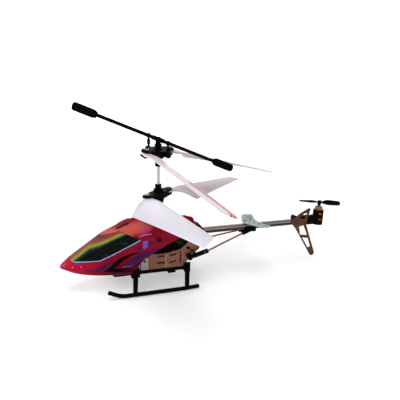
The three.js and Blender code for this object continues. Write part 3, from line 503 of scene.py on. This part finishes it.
# width and height shares of a section, from the lower edge to the roof line
SECTION = [
    (0.78, 0), (0.93, 0.16), (1, 0.36), (0.96, 0.54), (0.82, 0.71), (0.6, 0.85), (0.32, 0.95), (0, 1),
]
CHIN = [(-0.45, -0.02), (0, -0.03), (0.45, -0.02)]
GROMMET = (-2.0, 35.0)
WINDOW = [
    (-59.4, 48), (-59.4, 23.6), (-57.5, 22.4), (-55.6, 21.6), (-39.8, 22.8), (-12.9, 35.2),
    (-23.1, 39.4), (-26.8, 40.7), (-39.3, 37.6), (-39.3, 48),
]
BELOW_EDGE = [
    (-20, 11.3), (-16.3, 16.6), (-13.3, 20.7), (-10.6, 23.1), (-7.2, 25.2), (-3.4, 27.5), (0.2, 29.3),
    (4, 31.2), (8, 32.9), (12.5, 34.3), (40, 35.4), (40, -2), (-20, -2),
]
ABOVE_TAIL = [(24, 60), (24.6, 45.2), (25.2, 41), (40, 34.8), (40, 60)]
INTAKE_X, INTAKE_Y, INTAKE_HALF, INTAKE_WIDTH = -24.6, 3.8, 4.1, 0.8
# a dark sheet under each intake, painted shade: its depth below the roof and its grid across x and y
SHADE_SHEET_DEPTH, SHADE_SHEET_X, SHADE_SHEET_Y = 2.2, (-30.5, -27.5, -24.5, -21.5, -18.5), (1.6, 3.8, 6.0)
ALONG_STEPS = 7
ROUND_STEPS = 5


def station_at(s):
    last = len(STATIONS) - 1
    i = min(int(s), last - 1)
    rows = [Vector(STATIONS[min(max(i + k, 0), last)]) for k in (-1, 0, 1, 2)]
    return catmull(*rows, s - i)


def section_loop():
    port = [(-w, h) for w, h in reversed(SECTION[:-1])]
    return [Vector(p) for p in [*SECTION, *port, *CHIN]]


def ring_shares():
    loop = section_loop()
    count = len(loop)
    return [catmull(*(loop[(i + k) % count] for k in (-1, 0, 1, 2)), step / ROUND_STEPS)
            for i in range(count) for step in range(ROUND_STEPS)]


SHARES = ring_shares()


def skin_ring(s):
    x, half, keel, roof = station_at(s)
    return [Vector((x, w * half, lerp(keel, roof, h))) for w, h in SHARES]


def skin_mesh():
    """The whole outer skin as a bmesh in millimetres, with its normals kept on the vertices."""
    bm = bmesh.new()
    normal_layer = bm.verts.layers.float_vector.new("skin_normal")
    rings = [skin_ring(i / ALONG_STEPS) for i in range((len(STATIONS) - 1) * ALONG_STEPS + 1)]
    count = len(SHARES)
    grid = [[bm.verts.new(p) for p in ring] for ring in rings]
    for a, b in zip(grid, grid[1:]):
        for i in range(count):
            j = (i + 1) % count
            bm.faces.new((a[i], a[j], b[j], b[i]))
    tip = bm.verts.new(NOSE_TIP)
    for i in range(count):
        bm.faces.new((tip, grid[0][(i + 1) % count], grid[0][i]))
    bm.normal_update()
    centre = Vector((-20, 0, 28))
    outward = sum(f.normal.dot(f.calc_center_median() - centre) for f in bm.faces)
    if outward < 0:
        bmesh.ops.reverse_faces(bm, faces=bm.faces[:])
        bm.normal_update()
    for v in bm.verts:
        v[normal_layer] = v.normal
    return bm, normal_layer


def cut_along(bm, outline, axes, where=lambda centre: True):
    """Splits the faces of a bmesh along the edges of an outline drawn across two axes."""
    ia, ib = axes
    for (a0, b0), (a1, b1) in zip(outline, outline[1:] + outline[:1]):
        low = (min(a0, a1) - 0.05, min(b0, b1) - 0.05)
        high = (max(a0, a1) + 0.05, max(b0, b1) + 0.05)
        near = []
        for face in bm.faces:
            if not where(face.calc_center_median()):
                continue
            aa = [v.co[ia] for v in face.verts]
            bb = [v.co[ib] for v in face.verts]
            if max(aa) > low[0] and min(aa) < high[0] and max(bb) > low[1] and min(bb) < high[1]:
                near.append(face)
        if not near:
            continue
        at, across = Vector((0, 0, 0)), Vector((0, 0, 0))
        at[ia], at[ib] = a0, b0
        across[ia], across[ib] = b1 - b0, a0 - a1
        parts = {*near, *(e for f in near for e in f.edges), *(v for f in near for v in f.verts)}
        bmesh.ops.bisect_plane(bm, geom=list(parts), dist=1e-4, plane_co=at, plane_no=across)


def within(outline, a, b):
    inside = False
    for (a0, b0), (a1, b1) in zip(outline, outline[1:] + outline[:1]):
        if (b0 > b) != (b1 > b) and a < a0 + (a1 - a0) * (b - b0) / (b1 - b0):
            inside = not inside
    return inside


def select(bm, outline, axes, where=lambda centre: True):
    found = []
    for face in bm.faces:
        centre = face.calc_center_median()
        if where(centre) and within(outline, centre[axes[0]], centre[axes[1]]):
            found.append(face)
    return found


def drop(bm, faces):
    bmesh.ops.delete(bm, geom=faces, context="FACES")


def circle(x, y, radius, sides=24):
    return [(x + radius * math.cos(2 * math.pi * i / sides), y + radius * math.sin(2 * math.pi * i / sides))
            for i in range(sides)]


def inset(points, distance):
    """Moves every edge of a counter-clockwise outline inward."""
    edges = []
    for (x0, y0), (x1, y1) in zip(points, points[1:] + points[:1]):
        length = math.hypot(x1 - x0, y1 - y0)
        dx, dy = (x1 - x0) / length, (y1 - y0) / length
        edges.append(((x0 - dy * distance, y0 + dx * distance), (dx, dy)))
    out = []
    for before, edge in zip([edges[-1], *edges], edges):
        (ox, oy), (dx, dy) = edge
        (px, py), (qx, qy) = before
        t = ((ox - px) * dy - (oy - py) * dx) / (qx * dy - qy * dx)
        out.append((px + t * qx, py + t * qy))
    return out


def shell_from(bm, normal_layer, name, materials, wall, sink=0.0):
    """Gives a skin its wall, inward, and sets its normals from the uncut skin."""
    outer = [v.co - v[normal_layer].normalized() * sink for v in bm.verts]
    normals = [v[normal_layer].normalized() for v in bm.verts]
    inner = [p - n * wall for p, n in zip(outer, normals)]
    bm.verts.index_update()
    count = len(outer)
    faces = [[v.index for v in f.verts] for f in bm.faces]
    paints = [f.material_index for f in bm.faces]
    rims = []
    for edge in bm.edges:
        if edge.is_boundary:
            loop = edge.link_loops[0]
            a, b = loop.vert.index, loop.link_loop_next.vert.index
            rims.append([b, a, a + count, b + count])
    all_faces = faces + [[i + count for i in reversed(f)] for f in faces] + rims
    mesh = bpy.data.meshes.new(name)
    mesh.from_pydata([p * MM for p in outer + inner], [], all_faces)
    for material in materials:
        mesh.materials.append(MAT[material])
    for poly, paint in zip(mesh.polygons, paints):
        poly.material_index = paint
    mesh.polygons.foreach_set("use_smooth", [True] * len(mesh.polygons))
    mesh.update()
    loops = []
    for index, poly in enumerate(mesh.polygons):
        for vert in poly.vertices:
            if index < len(faces):
                loops.append(normals[vert])
            elif index < 2 * len(faces):
                loops.append(-normals[vert - count])
            else:
                loops.append(poly.normal.copy())
    mesh.normals_split_custom_set(loops)
    obj = bpy.data.objects.new(name, mesh)
    scene.collection.objects.link(obj)
    obj.location.z = -BASE_BOTTOM * MM
    return obj


# swooshes, patches and dots printed on both sides, with a painted violet highlight line and a painted
# violet reflection along the hem, as outlines across x and z
PRINTS_AND_HIGHLIGHTS = [
    ("print_purple", [(-49.9, 16.6), (-44.7, 16.0), (-40.1, 16.0), (-36.6, 17.2), (-33.8, 20.2),
                      (-29.6, 23.3), (-33.7, 22.4), (-36.8, 21.3), (-39.4, 19.2), (-41.8, 17.6),
                      (-45.4, 17.0)]),
    ("print_black", [(-38.6, 15.8), (-35.4, 17.2), (-33.0, 19.4), (-30.6, 22.4), (-27.4, 24.8),
                     (-23.1, 26.6), (-18.7, 27.5), (-13.4, 27.8), (-19.5, 26.1), (-24.3, 23.6),
                     (-27.5, 21.0), (-29.9, 18.4), (-31.1, 17.3), (-26.8, 16.9), (-20.4, 16.8),
                     (-25.6, 14.7), (-31.6, 14.2)]),
    ("print_purple", [(-24.4, 18.4), (-22.0, 21.2), (-19.6, 24.1), (-16.3, 26.0), (-11.4, 27.5),
                      (-6.5, 28.4), (0.0, 29.4), (-4.9, 26.8), (-9.0, 25.1), (-13.1, 22.8), (-16.4, 19.9),
                      (-18.8, 18.2), (-22.0, 17.3)]),
    # a painted highlight: a thin light violet line
    ("violet_print_and_highlight", [(-26.0, 17.7), (-26.0, 18.3), (-19.2, 18.6), (-19.2, 18.1)]),
    ("print_purple", [(-17.2, 28.8), (-13.5, 33.4), (-13.3, 28.9)]),
    ("violet_print_and_highlight", [(-12.3, 34.6), (-9.4, 34.8), (-9.5, 30.9), (-11.4, 29.6), (-12.8, 30.3)]),
    ("print_purple", circle(-7.3, 33.2, 1.5, 14)),
    ("print_pale", [(-14.8, 37.5), (-10.9, 38.3), (-6.4, 38.6), (-6.4, 38.95), (-10.9, 38.7),
                    (-14.8, 37.85)]),
    # a painted reflection: violet along the hem
    ("violet_print_and_highlight", [(-34.6, 10.5), (-34.2, 12.2), (-25.4, 11.95), (-24.6, 10.5)]),
    ("print_pale", circle(-56.7, 18.9, 0.45, 10)),
    ("print_pale", circle(-51.5, 19.3, 0.45, 10)),
]
PAINTS = ["crimson_shell", "print_purple", "print_black", "violet_print_and_highlight", "print_pale"]

XZ, XY = (0, 2), (0, 1)
skin, layer = skin_mesh()
# the canopy is open underneath, behind the nose
drop(skin, [f for f in skin.faces if f.normal.z < -0.93 and f.calc_center_median().x > -51.5])
pane = skin.copy()
pane_layer = pane.verts.layers.float_vector["skin_normal"]


ROOF_LOW = 37.0
MAST_HOLE = 5.2
ROOF_SLOT = (4, 18.6, -4.3, 4.3)
PEG_HOLE = 1.9


def on_roof(centre):
    return centre.z > ROOF_LOW


def rectangle(x0, x1, y0, y1):
    return [(x0, y0), (x1, y0), (x1, y1), (x0, y1)]


for outline in (BELOW_EDGE, ABOVE_TAIL, WINDOW):
    cut_along(skin, outline, XZ)
    drop(skin, select(skin, outline, XZ))
intakes = [rectangle(INTAKE_X - INTAKE_HALF, INTAKE_X + INTAKE_HALF, side * INTAKE_Y - INTAKE_WIDTH,
                     side * INTAKE_Y + INTAKE_WIDTH) for _, side in SIDES]
for outline in (circle(0, 0, MAST_HOLE, 32), rectangle(*ROOF_SLOT), *intakes):
    cut_along(skin, outline, XY, on_roof)
    drop(skin, select(skin, outline, XY, on_roof))
peg_hole = circle(*GROMMET, PEG_HOLE)
cut_along(skin, peg_hole, XZ)
drop(skin, select(skin, peg_hole, XZ))
for paint, outline in PRINTS_AND_HIGHLIGHTS:
    cut_along(skin, outline, XZ)
    for face in select(skin, outline, XZ):
        face.material_index = PAINTS.index(paint)
canopy = shell_from(skin, layer, "canopy_shell", PAINTS, WALL)
put(canopy, "airframe", "crimson_shell", "canopy")

pane_outline = inset(WINDOW, GAP)
cut_along(pane, pane_outline, XZ)
drop(pane, [f for f in pane.faces
            if not within(pane_outline, f.calc_center_median().x, f.calc_center_median().z)])
# a painted light-blue highlight follows the window's lower edge
highlight_line = [(-57.5, 22.4), (-55.6, 21.6), (-39.8, 22.8), (-12.9, 35.2)]
highlight_strip = [*highlight_line, *((x - 0.2, z + 0.85) for x, z in reversed(highlight_line))]
cut_along(pane, highlight_strip, XZ)
for face in select(pane, highlight_strip, XZ):
    face.material_index = 1
window = shell_from(pane, pane_layer, "window_shell", ["iridescent_window", "edge_highlight"], WALL - 0.1, sink=0.1)
put(window, "airframe", "iridescent_window", "window_panel")


def roof_height(x, y):
    """The height of the canopy's skin over a point."""
    last = len(STATIONS) - 1
    s = next(i / 40 for i in range(40 * last + 1) if station_at(i / 40)[0] >= x)
    _, half, keel, roof = station_at(s)
    above = [(w * half, lerp(keel, roof, h)) for w, h in SHARES if w >= 0 and h > 0.36]
    for (y0, z0), (y1, z1) in zip(above, above[1:]):
        if y1 <= abs(y) <= y0:
            return lerp(z0, z1, (y0 - abs(y)) / (y0 - y1))
    return roof


# the lip stands along the inner edge of its intake: x and height above the roof
LIP_Y, LIP_RADIUS = INTAKE_Y - 1.25, 0.62
LIP_PATH = ((-28.0, -0.6), (-26, -0.15), (-23.5, 0.02), (-20.6, 0.02), (-19.0, -0.6))
for name, side in SIDES:
    ridge = [(x, side * LIP_Y, roof_height(x, LIP_Y) + lift) for x, lift in LIP_PATH]
    lip = tube(f"intake_lip_{name}", ridge, LIP_RADIUS, "crimson_shell", moved(0, 0, -BASE_BOTTOM))
    put(lip, "airframe", "crimson_shell")
    # a dark sheet under each intake stands in for the shade inside it: painted shade
    rows = [(x, side * y, roof_height(x, y) - SHADE_SHEET_DEPTH) for x in SHADE_SHEET_X for y in SHADE_SHEET_Y]
    across = len(SHADE_SHEET_Y)
    quads = [(i, i + 1, i + across + 1, i + across)
             for i in range(across * (len(SHADE_SHEET_X) - 1)) if i % across < across - 1]
    shade_sheet = piece(f"intake_shade_sheet_{name}", rows, quads, "black_plastic", moved(0, 0, -BASE_BOTTOM))
    shade_sheet.modifiers.new("wall", "SOLIDIFY").thickness = 0.3 * MM
    put(shade_sheet, "airframe", "black_plastic")

# ------------------------------------------------------------------ CAD pieces that keep their shape
finish_of = {row["node"]: row["material_slot"] for row in frame["record"]["subparts"]}
SPECIAL = {
    "tail_boom": "boom_bronze", "skid_left": "gloss_black", "skid_right": "gloss_black",
    "vertical_fin": "fin_bronze", "tail_motor": "rust_bronze",
}
ROUND_EDGES = {
    "side_plate_left": 0.12, "side_plate_right": 0.12, "front_bracket_left": 0.12,
    "front_bracket_right": 0.12, "vertical_fin": 0.1, "horizontal_stabiliser": 0.1,
    "upper_gear": 0.06, "lower_gear": 0.06, "pinion_left": 0.05, "pinion_right": 0.05,
    "front_leg_arch": 0.35, "rear_leg_arch": 0.35, "main_frame": 0.2, "upper_hub": 0.3, "lower_hub": 0.3,
    "link_front": 0.12, "link_rear": 0.12, "switch_slider": 0.05, "circuit_board": 0.1, "battery": 0.8,
}
for node, obj in frame["nodes"].items():
    obj.data.materials.clear()
    obj.data.materials.append(MAT[SPECIAL.get(node, finish_of[node])])
    if obj.hide_render:
        continue
    custom = obj.data.attributes.get("custom_normal")
    if custom:
        obj.data.attributes.remove(custom)
    obj.data.polygons.foreach_set("use_smooth", [True] * len(obj.data.polygons))
    obj.data.update()
    soften(obj, ROUND_EDGES.get(node, 0.15))

# ------------------------------------------------------------------ blades
TAB_RADIUS, TAB_THICKNESS, THICKNESS = 3.2, 1.2, 0.8
PITCH_ROOT, PITCH_TIP = 22.4, 10.9
PIN_RADIUS = 14.1


def blade_edges(u):
    half = math.sqrt(TAB_RADIUS ** 2 - u ** 2) if u < 0 else TAB_RADIUS
    if u <= TAB_RADIUS:
        return -half, half
    turn_in = smoothstep(SHOULDER, BLADE_LENGTH + 0.6, u) * (LEADING + TRAILING_TIP - 0.8)
    if u < BLADE_ROOT:
        trailing = lerp(TAB_RADIUS, TRAILING, (u - TAB_RADIUS) / (BLADE_ROOT - TAB_RADIUS))
    else:
        trailing = lerp(TRAILING, TRAILING_TIP, (u - BLADE_ROOT) / (BLADE_LENGTH - BLADE_ROOT))
    return -LEADING + turn_in, trailing


def blade(name, node, body, material, place, trailing_side, sides=14):
    """A blade along X from its pin, thin at both edges. The CAD screw passes through its tab."""
    stations = [-3.1, -2.8, -2.2, -1.2, 0, 1.6, 3.2, *(3.2 + 1.2 * k for k in range(1, 11)),
                *(BLADE_ROOT + 5.0 * k for k in range(1, 13)),
                76.5, 78.5, 80.2, 81.5, 82.6, 83.6, 84.4, 84.9]
    points = []
    for u in stations:
        leading, trailing = blade_edges(u)
        grown = smoothstep(TAB_RADIUS, BLADE_ROOT, u)
        beyond = max(0.0, (u - BLADE_ROOT) / (BLADE_LENGTH - BLADE_ROOT))
        pitch = rad(grown * lerp(PITCH_ROOT, PITCH_TIP, beyond))
        camber = 0.06 * (trailing - leading) * grown
        thick = lerp(TAB_THICKNESS, THICKNESS, grown) * (0.5 + 0.5 * min(1.0, (BLADE_LENGTH - u) / 2))
        for surface in (1, -1):
            for k in range(sides):
                t = (1 - math.cos(math.pi * k / (sides - 1))) / 2
                t = t if surface > 0 else 1 - t
                edge = min(1.0, 4.5 * math.sqrt(max(0.0, t * (1 - t))))
                v = lerp(leading, trailing, t)
                h = camber * 4 * t * (1 - t) + surface * thick / 2 * lerp(0.35, 1.0, edge)
                back = v * math.cos(pitch) + h * math.sin(pitch)
                points.append((u, trailing_side * back, h * math.cos(pitch) - v * math.sin(pitch)))
    faces = ringed_faces(len(stations), 2 * sides)
    if trailing_side > 0:
        faces = [(face[0], *reversed(face[1:])) for face in faces]
    made = piece(name, points, faces, material, place)
    edges = made.modifiers.new("edges", "EDGE_SPLIT")
    edges.split_angle = rad(50)
    put(made, body, "white_blade", node)


LOWER_HUB_HEIGHT, UPPER_HUB_HEIGHT = 62.7, 91.5
lower_hub = moved(0, 0, LOWER_HUB_HEIGHT - BASE_BOTTOM) @ turned("Z", 49.5)
upper_hub = moved(0, 0, UPPER_HUB_HEIGHT - BASE_BOTTOM) @ turned("Z", 46.1) @ turned("X", 15.4)
# rotor, hub, blade, side of the hub, angle on its pin, material, side of the trailing edge
BLADES = (
    ("lower", lower_hub, "near", -1, 230.0, "lilac_blade", -1),
    ("lower", lower_hub, "far", 1, -17.6, "white_blade", -1),
    ("upper", upper_hub, "near", -1, 243.2, "striped_blade", 1),
    ("upper", upper_hub, "far", 1, -49.6, "white_blade", 1),
)
for rotor, hub, name, side, degrees, material, trailing_side in BLADES:
    place = hub @ moved(side * PIN_RADIUS, 0, 0) @ turned("Z", degrees)
    node = f"{rotor}_blade_{name}"
    blade(f"{node}_moulding", node, node, material, place, trailing_side)

# ------------------------------------------------------------------ stabiliser bar weights
BAR_HEIGHT = 99.7
bar_place = moved(0, 0, BAR_HEIGHT - BASE_BOTTOM) @ turned("Z", -5.5) @ turned("Y", 20.5)
# radius and distance from the middle of the bar
WEIGHT_PROFILE = [
    (0.02, 54.6), (1.45, 54.6), (1.45, 40.1), (1.8, 40.1), (2.1, 40.4), (2.15, 41.0), (2.3, 41.4),
    (2.62, 41.9), (2.7, 42.5), (2.7, 53.0), (2.62, 53.9), (2.3, 54.7), (1.7, 55.1), (0.9, 55.2),
    (0.02, 55.2),
]
for name, facing in (("left", -90), ("right", 90)):
    place = bar_place @ turned("Y", facing)
    weight = lathe(f"{name}_bar_weight", WEIGHT_PROFILE, "black_plastic", place, 32)
    put(weight, "flybar", "black_plastic", f"flybar_weight_{name}")

# ------------------------------------------------------------------ small trim
PLATE_Y = 7.0
SEAM_HEIGHTS = (12.0, 23.3)
for name, side in SIDES:
    outer = side * (PLATE_Y + 0.16)
    inner = side * (PLATE_Y - 0.05)
    section = ((3.5, inner), (3.6, outer), (4.2, outer), (4.3, inner))
    corners = [(x, y, z) for z in SEAM_HEIGHTS for x, y in section]
    quads = [(3, 2, 1, 0), (4, 5, 6, 7), (0, 1, 5, 4), (1, 2, 6, 5), (2, 3, 7, 6), (3, 0, 4, 7)]
    if side > 0:
        quads = [tuple(reversed(q)) for q in quads]
    seam = piece(f"plate_seam_{name}", corners, quads, "plated_trim", moved(0, 0, -BASE_BOTTOM),
                 smooth=False)
    put(seam, "airframe", "plated_trim")

RIVET = [(0.02, -0.5), (0.75, -0.5), (0.95, 0.0), (0.85, 0.22), (0.45, 0.38), (0.02, 0.4)]
VANE_TOP = 38.3 - BASE_BOTTOM
DIHEDRAL = 3.5
RIVETS = [(x, side * y) for _, side in reversed(SIDES) for x, y in ((74.6, 7), (72.6, 3.4), (68.4, 3.4))]
for i, (x, y) in enumerate(RIVETS):
    height = VANE_TOP + abs(y) * math.tan(rad(DIHEDRAL))
    place = moved(x, y, height) @ turned("X", math.copysign(DIHEDRAL, y))
    rivet = lathe(f"vane_rivet_{i}", RIVET, "rust_bronze", place, 16)
    put(rivet, "airframe", "bronze_metal")

# ------------------------------------------------------------------ stage and light
def stage_bowl():
    """A paper floor that curves up into walls all round; its profile is in metres."""
    profile = [(0.4, 0.0), (0.8, 0.0), (1.2, 0.0), (1.6, 0.03), (2.0, 0.14), (2.35, 0.38),
               (2.6, 0.75), (2.7, 1.3), (2.7, 2.2)]
    ground = cad_low.z
    sides = 64
    points = [(0, 0, ground)]
    for radius, height in profile:
        for i in range(sides):
            a = 2 * math.pi * i / sides
            points.append((radius * math.cos(a), radius * math.sin(a), ground + height))
    faces = [(0, 1 + i, 1 + (i + 1) % sides) for i in range(sides)]
    for ring in range(len(profile) - 1):
        for i in range(sides):
            j = (i + 1) % sides
            start = 1 + ring * sides
            faces.append((start + i, start + sides + i, start + sides + j, start + j))
    mesh = bpy.data.meshes.new("stage")
    mesh.from_pydata(points, [], faces)
    mesh.polygons.foreach_set("use_smooth", [True] * len(mesh.polygons))
    shade = Shade("stage_paper", Roughness=0.9, Specular_IOR_Level=0.1)
    shade.color(shade.ramp(shade.noise(8.0), [(0.3, (0.88, 0.88, 0.88)), (0.7, (0.89, 0.89, 0.89))]))
    x, y, z = shade.axes()
    shade.bsdf.inputs["Emission Color"].default_value = (1, 1, 1, 1)
    # the paper glows a little away from the middle, so that it stays white behind the model
    square = shade.math("ADD", shade.math("MULTIPLY", x, x), shade.math("MULTIPLY", y, y))
    reach = shade.math("SQRT", square)
    glow = shade.math("ADD", shade.between(reach, 150.0, 600.0, 0.07, 0.40),
                      shade.between(z, 0.0, 120.0, 0.0, 0.45))
    shade.feed(glow, shade.bsdf.inputs["Emission Strength"])
    mesh.materials.append(shade.material)
    obj = bpy.data.objects.new("stage", mesh)
    scene.collection.objects.link(obj)


def area_light(name, place, target, size, power, color=(1, 1, 1)):
    data = bpy.data.lights.new(name, "AREA")
    data.shape = "RECTANGLE"
    data.size, data.size_y = size
    data.energy = power
    data.color = color
    obj = bpy.data.objects.new(name, data)
    scene.collection.objects.link(obj)
    obj.location = place
    obj.rotation_euler = (Vector(target) - Vector(place)).to_track_quat("-Z", "Y").to_euler()


stage_bowl()
# the overhead light makes the soft shadow, and the nose light lifts the front of the canopy
area_light("overhead", (-0.15, -0.1, 1.1), (0.0, 0.0, 0.0), (0.7, 0.7), 4.5)
area_light("key", (-0.9, -0.5, 0.9), (0.0, 0.0, 0.03), (0.4, 0.4), 2.6, (1.0, 0.99, 0.98))
area_light("fill", (0.8, -0.9, 0.5), (0.0, 0.0, 0.03), (0.6, 0.5), 0.6, (0.97, 0.98, 1.0))
area_light("nose", (-0.70, 0.11, 0.20), (-0.062, -0.004, 0.012), (0.20, 0.12), 1.6)

world = bpy.data.worlds.new("studio")
world.use_nodes = True
world.node_tree.nodes["Background"].inputs["Color"].default_value = (1, 1, 1, 1)
world.node_tree.nodes["Background"].inputs["Strength"].default_value = 0.15
scene.world = world
scene.view_settings.view_transform = "Standard"
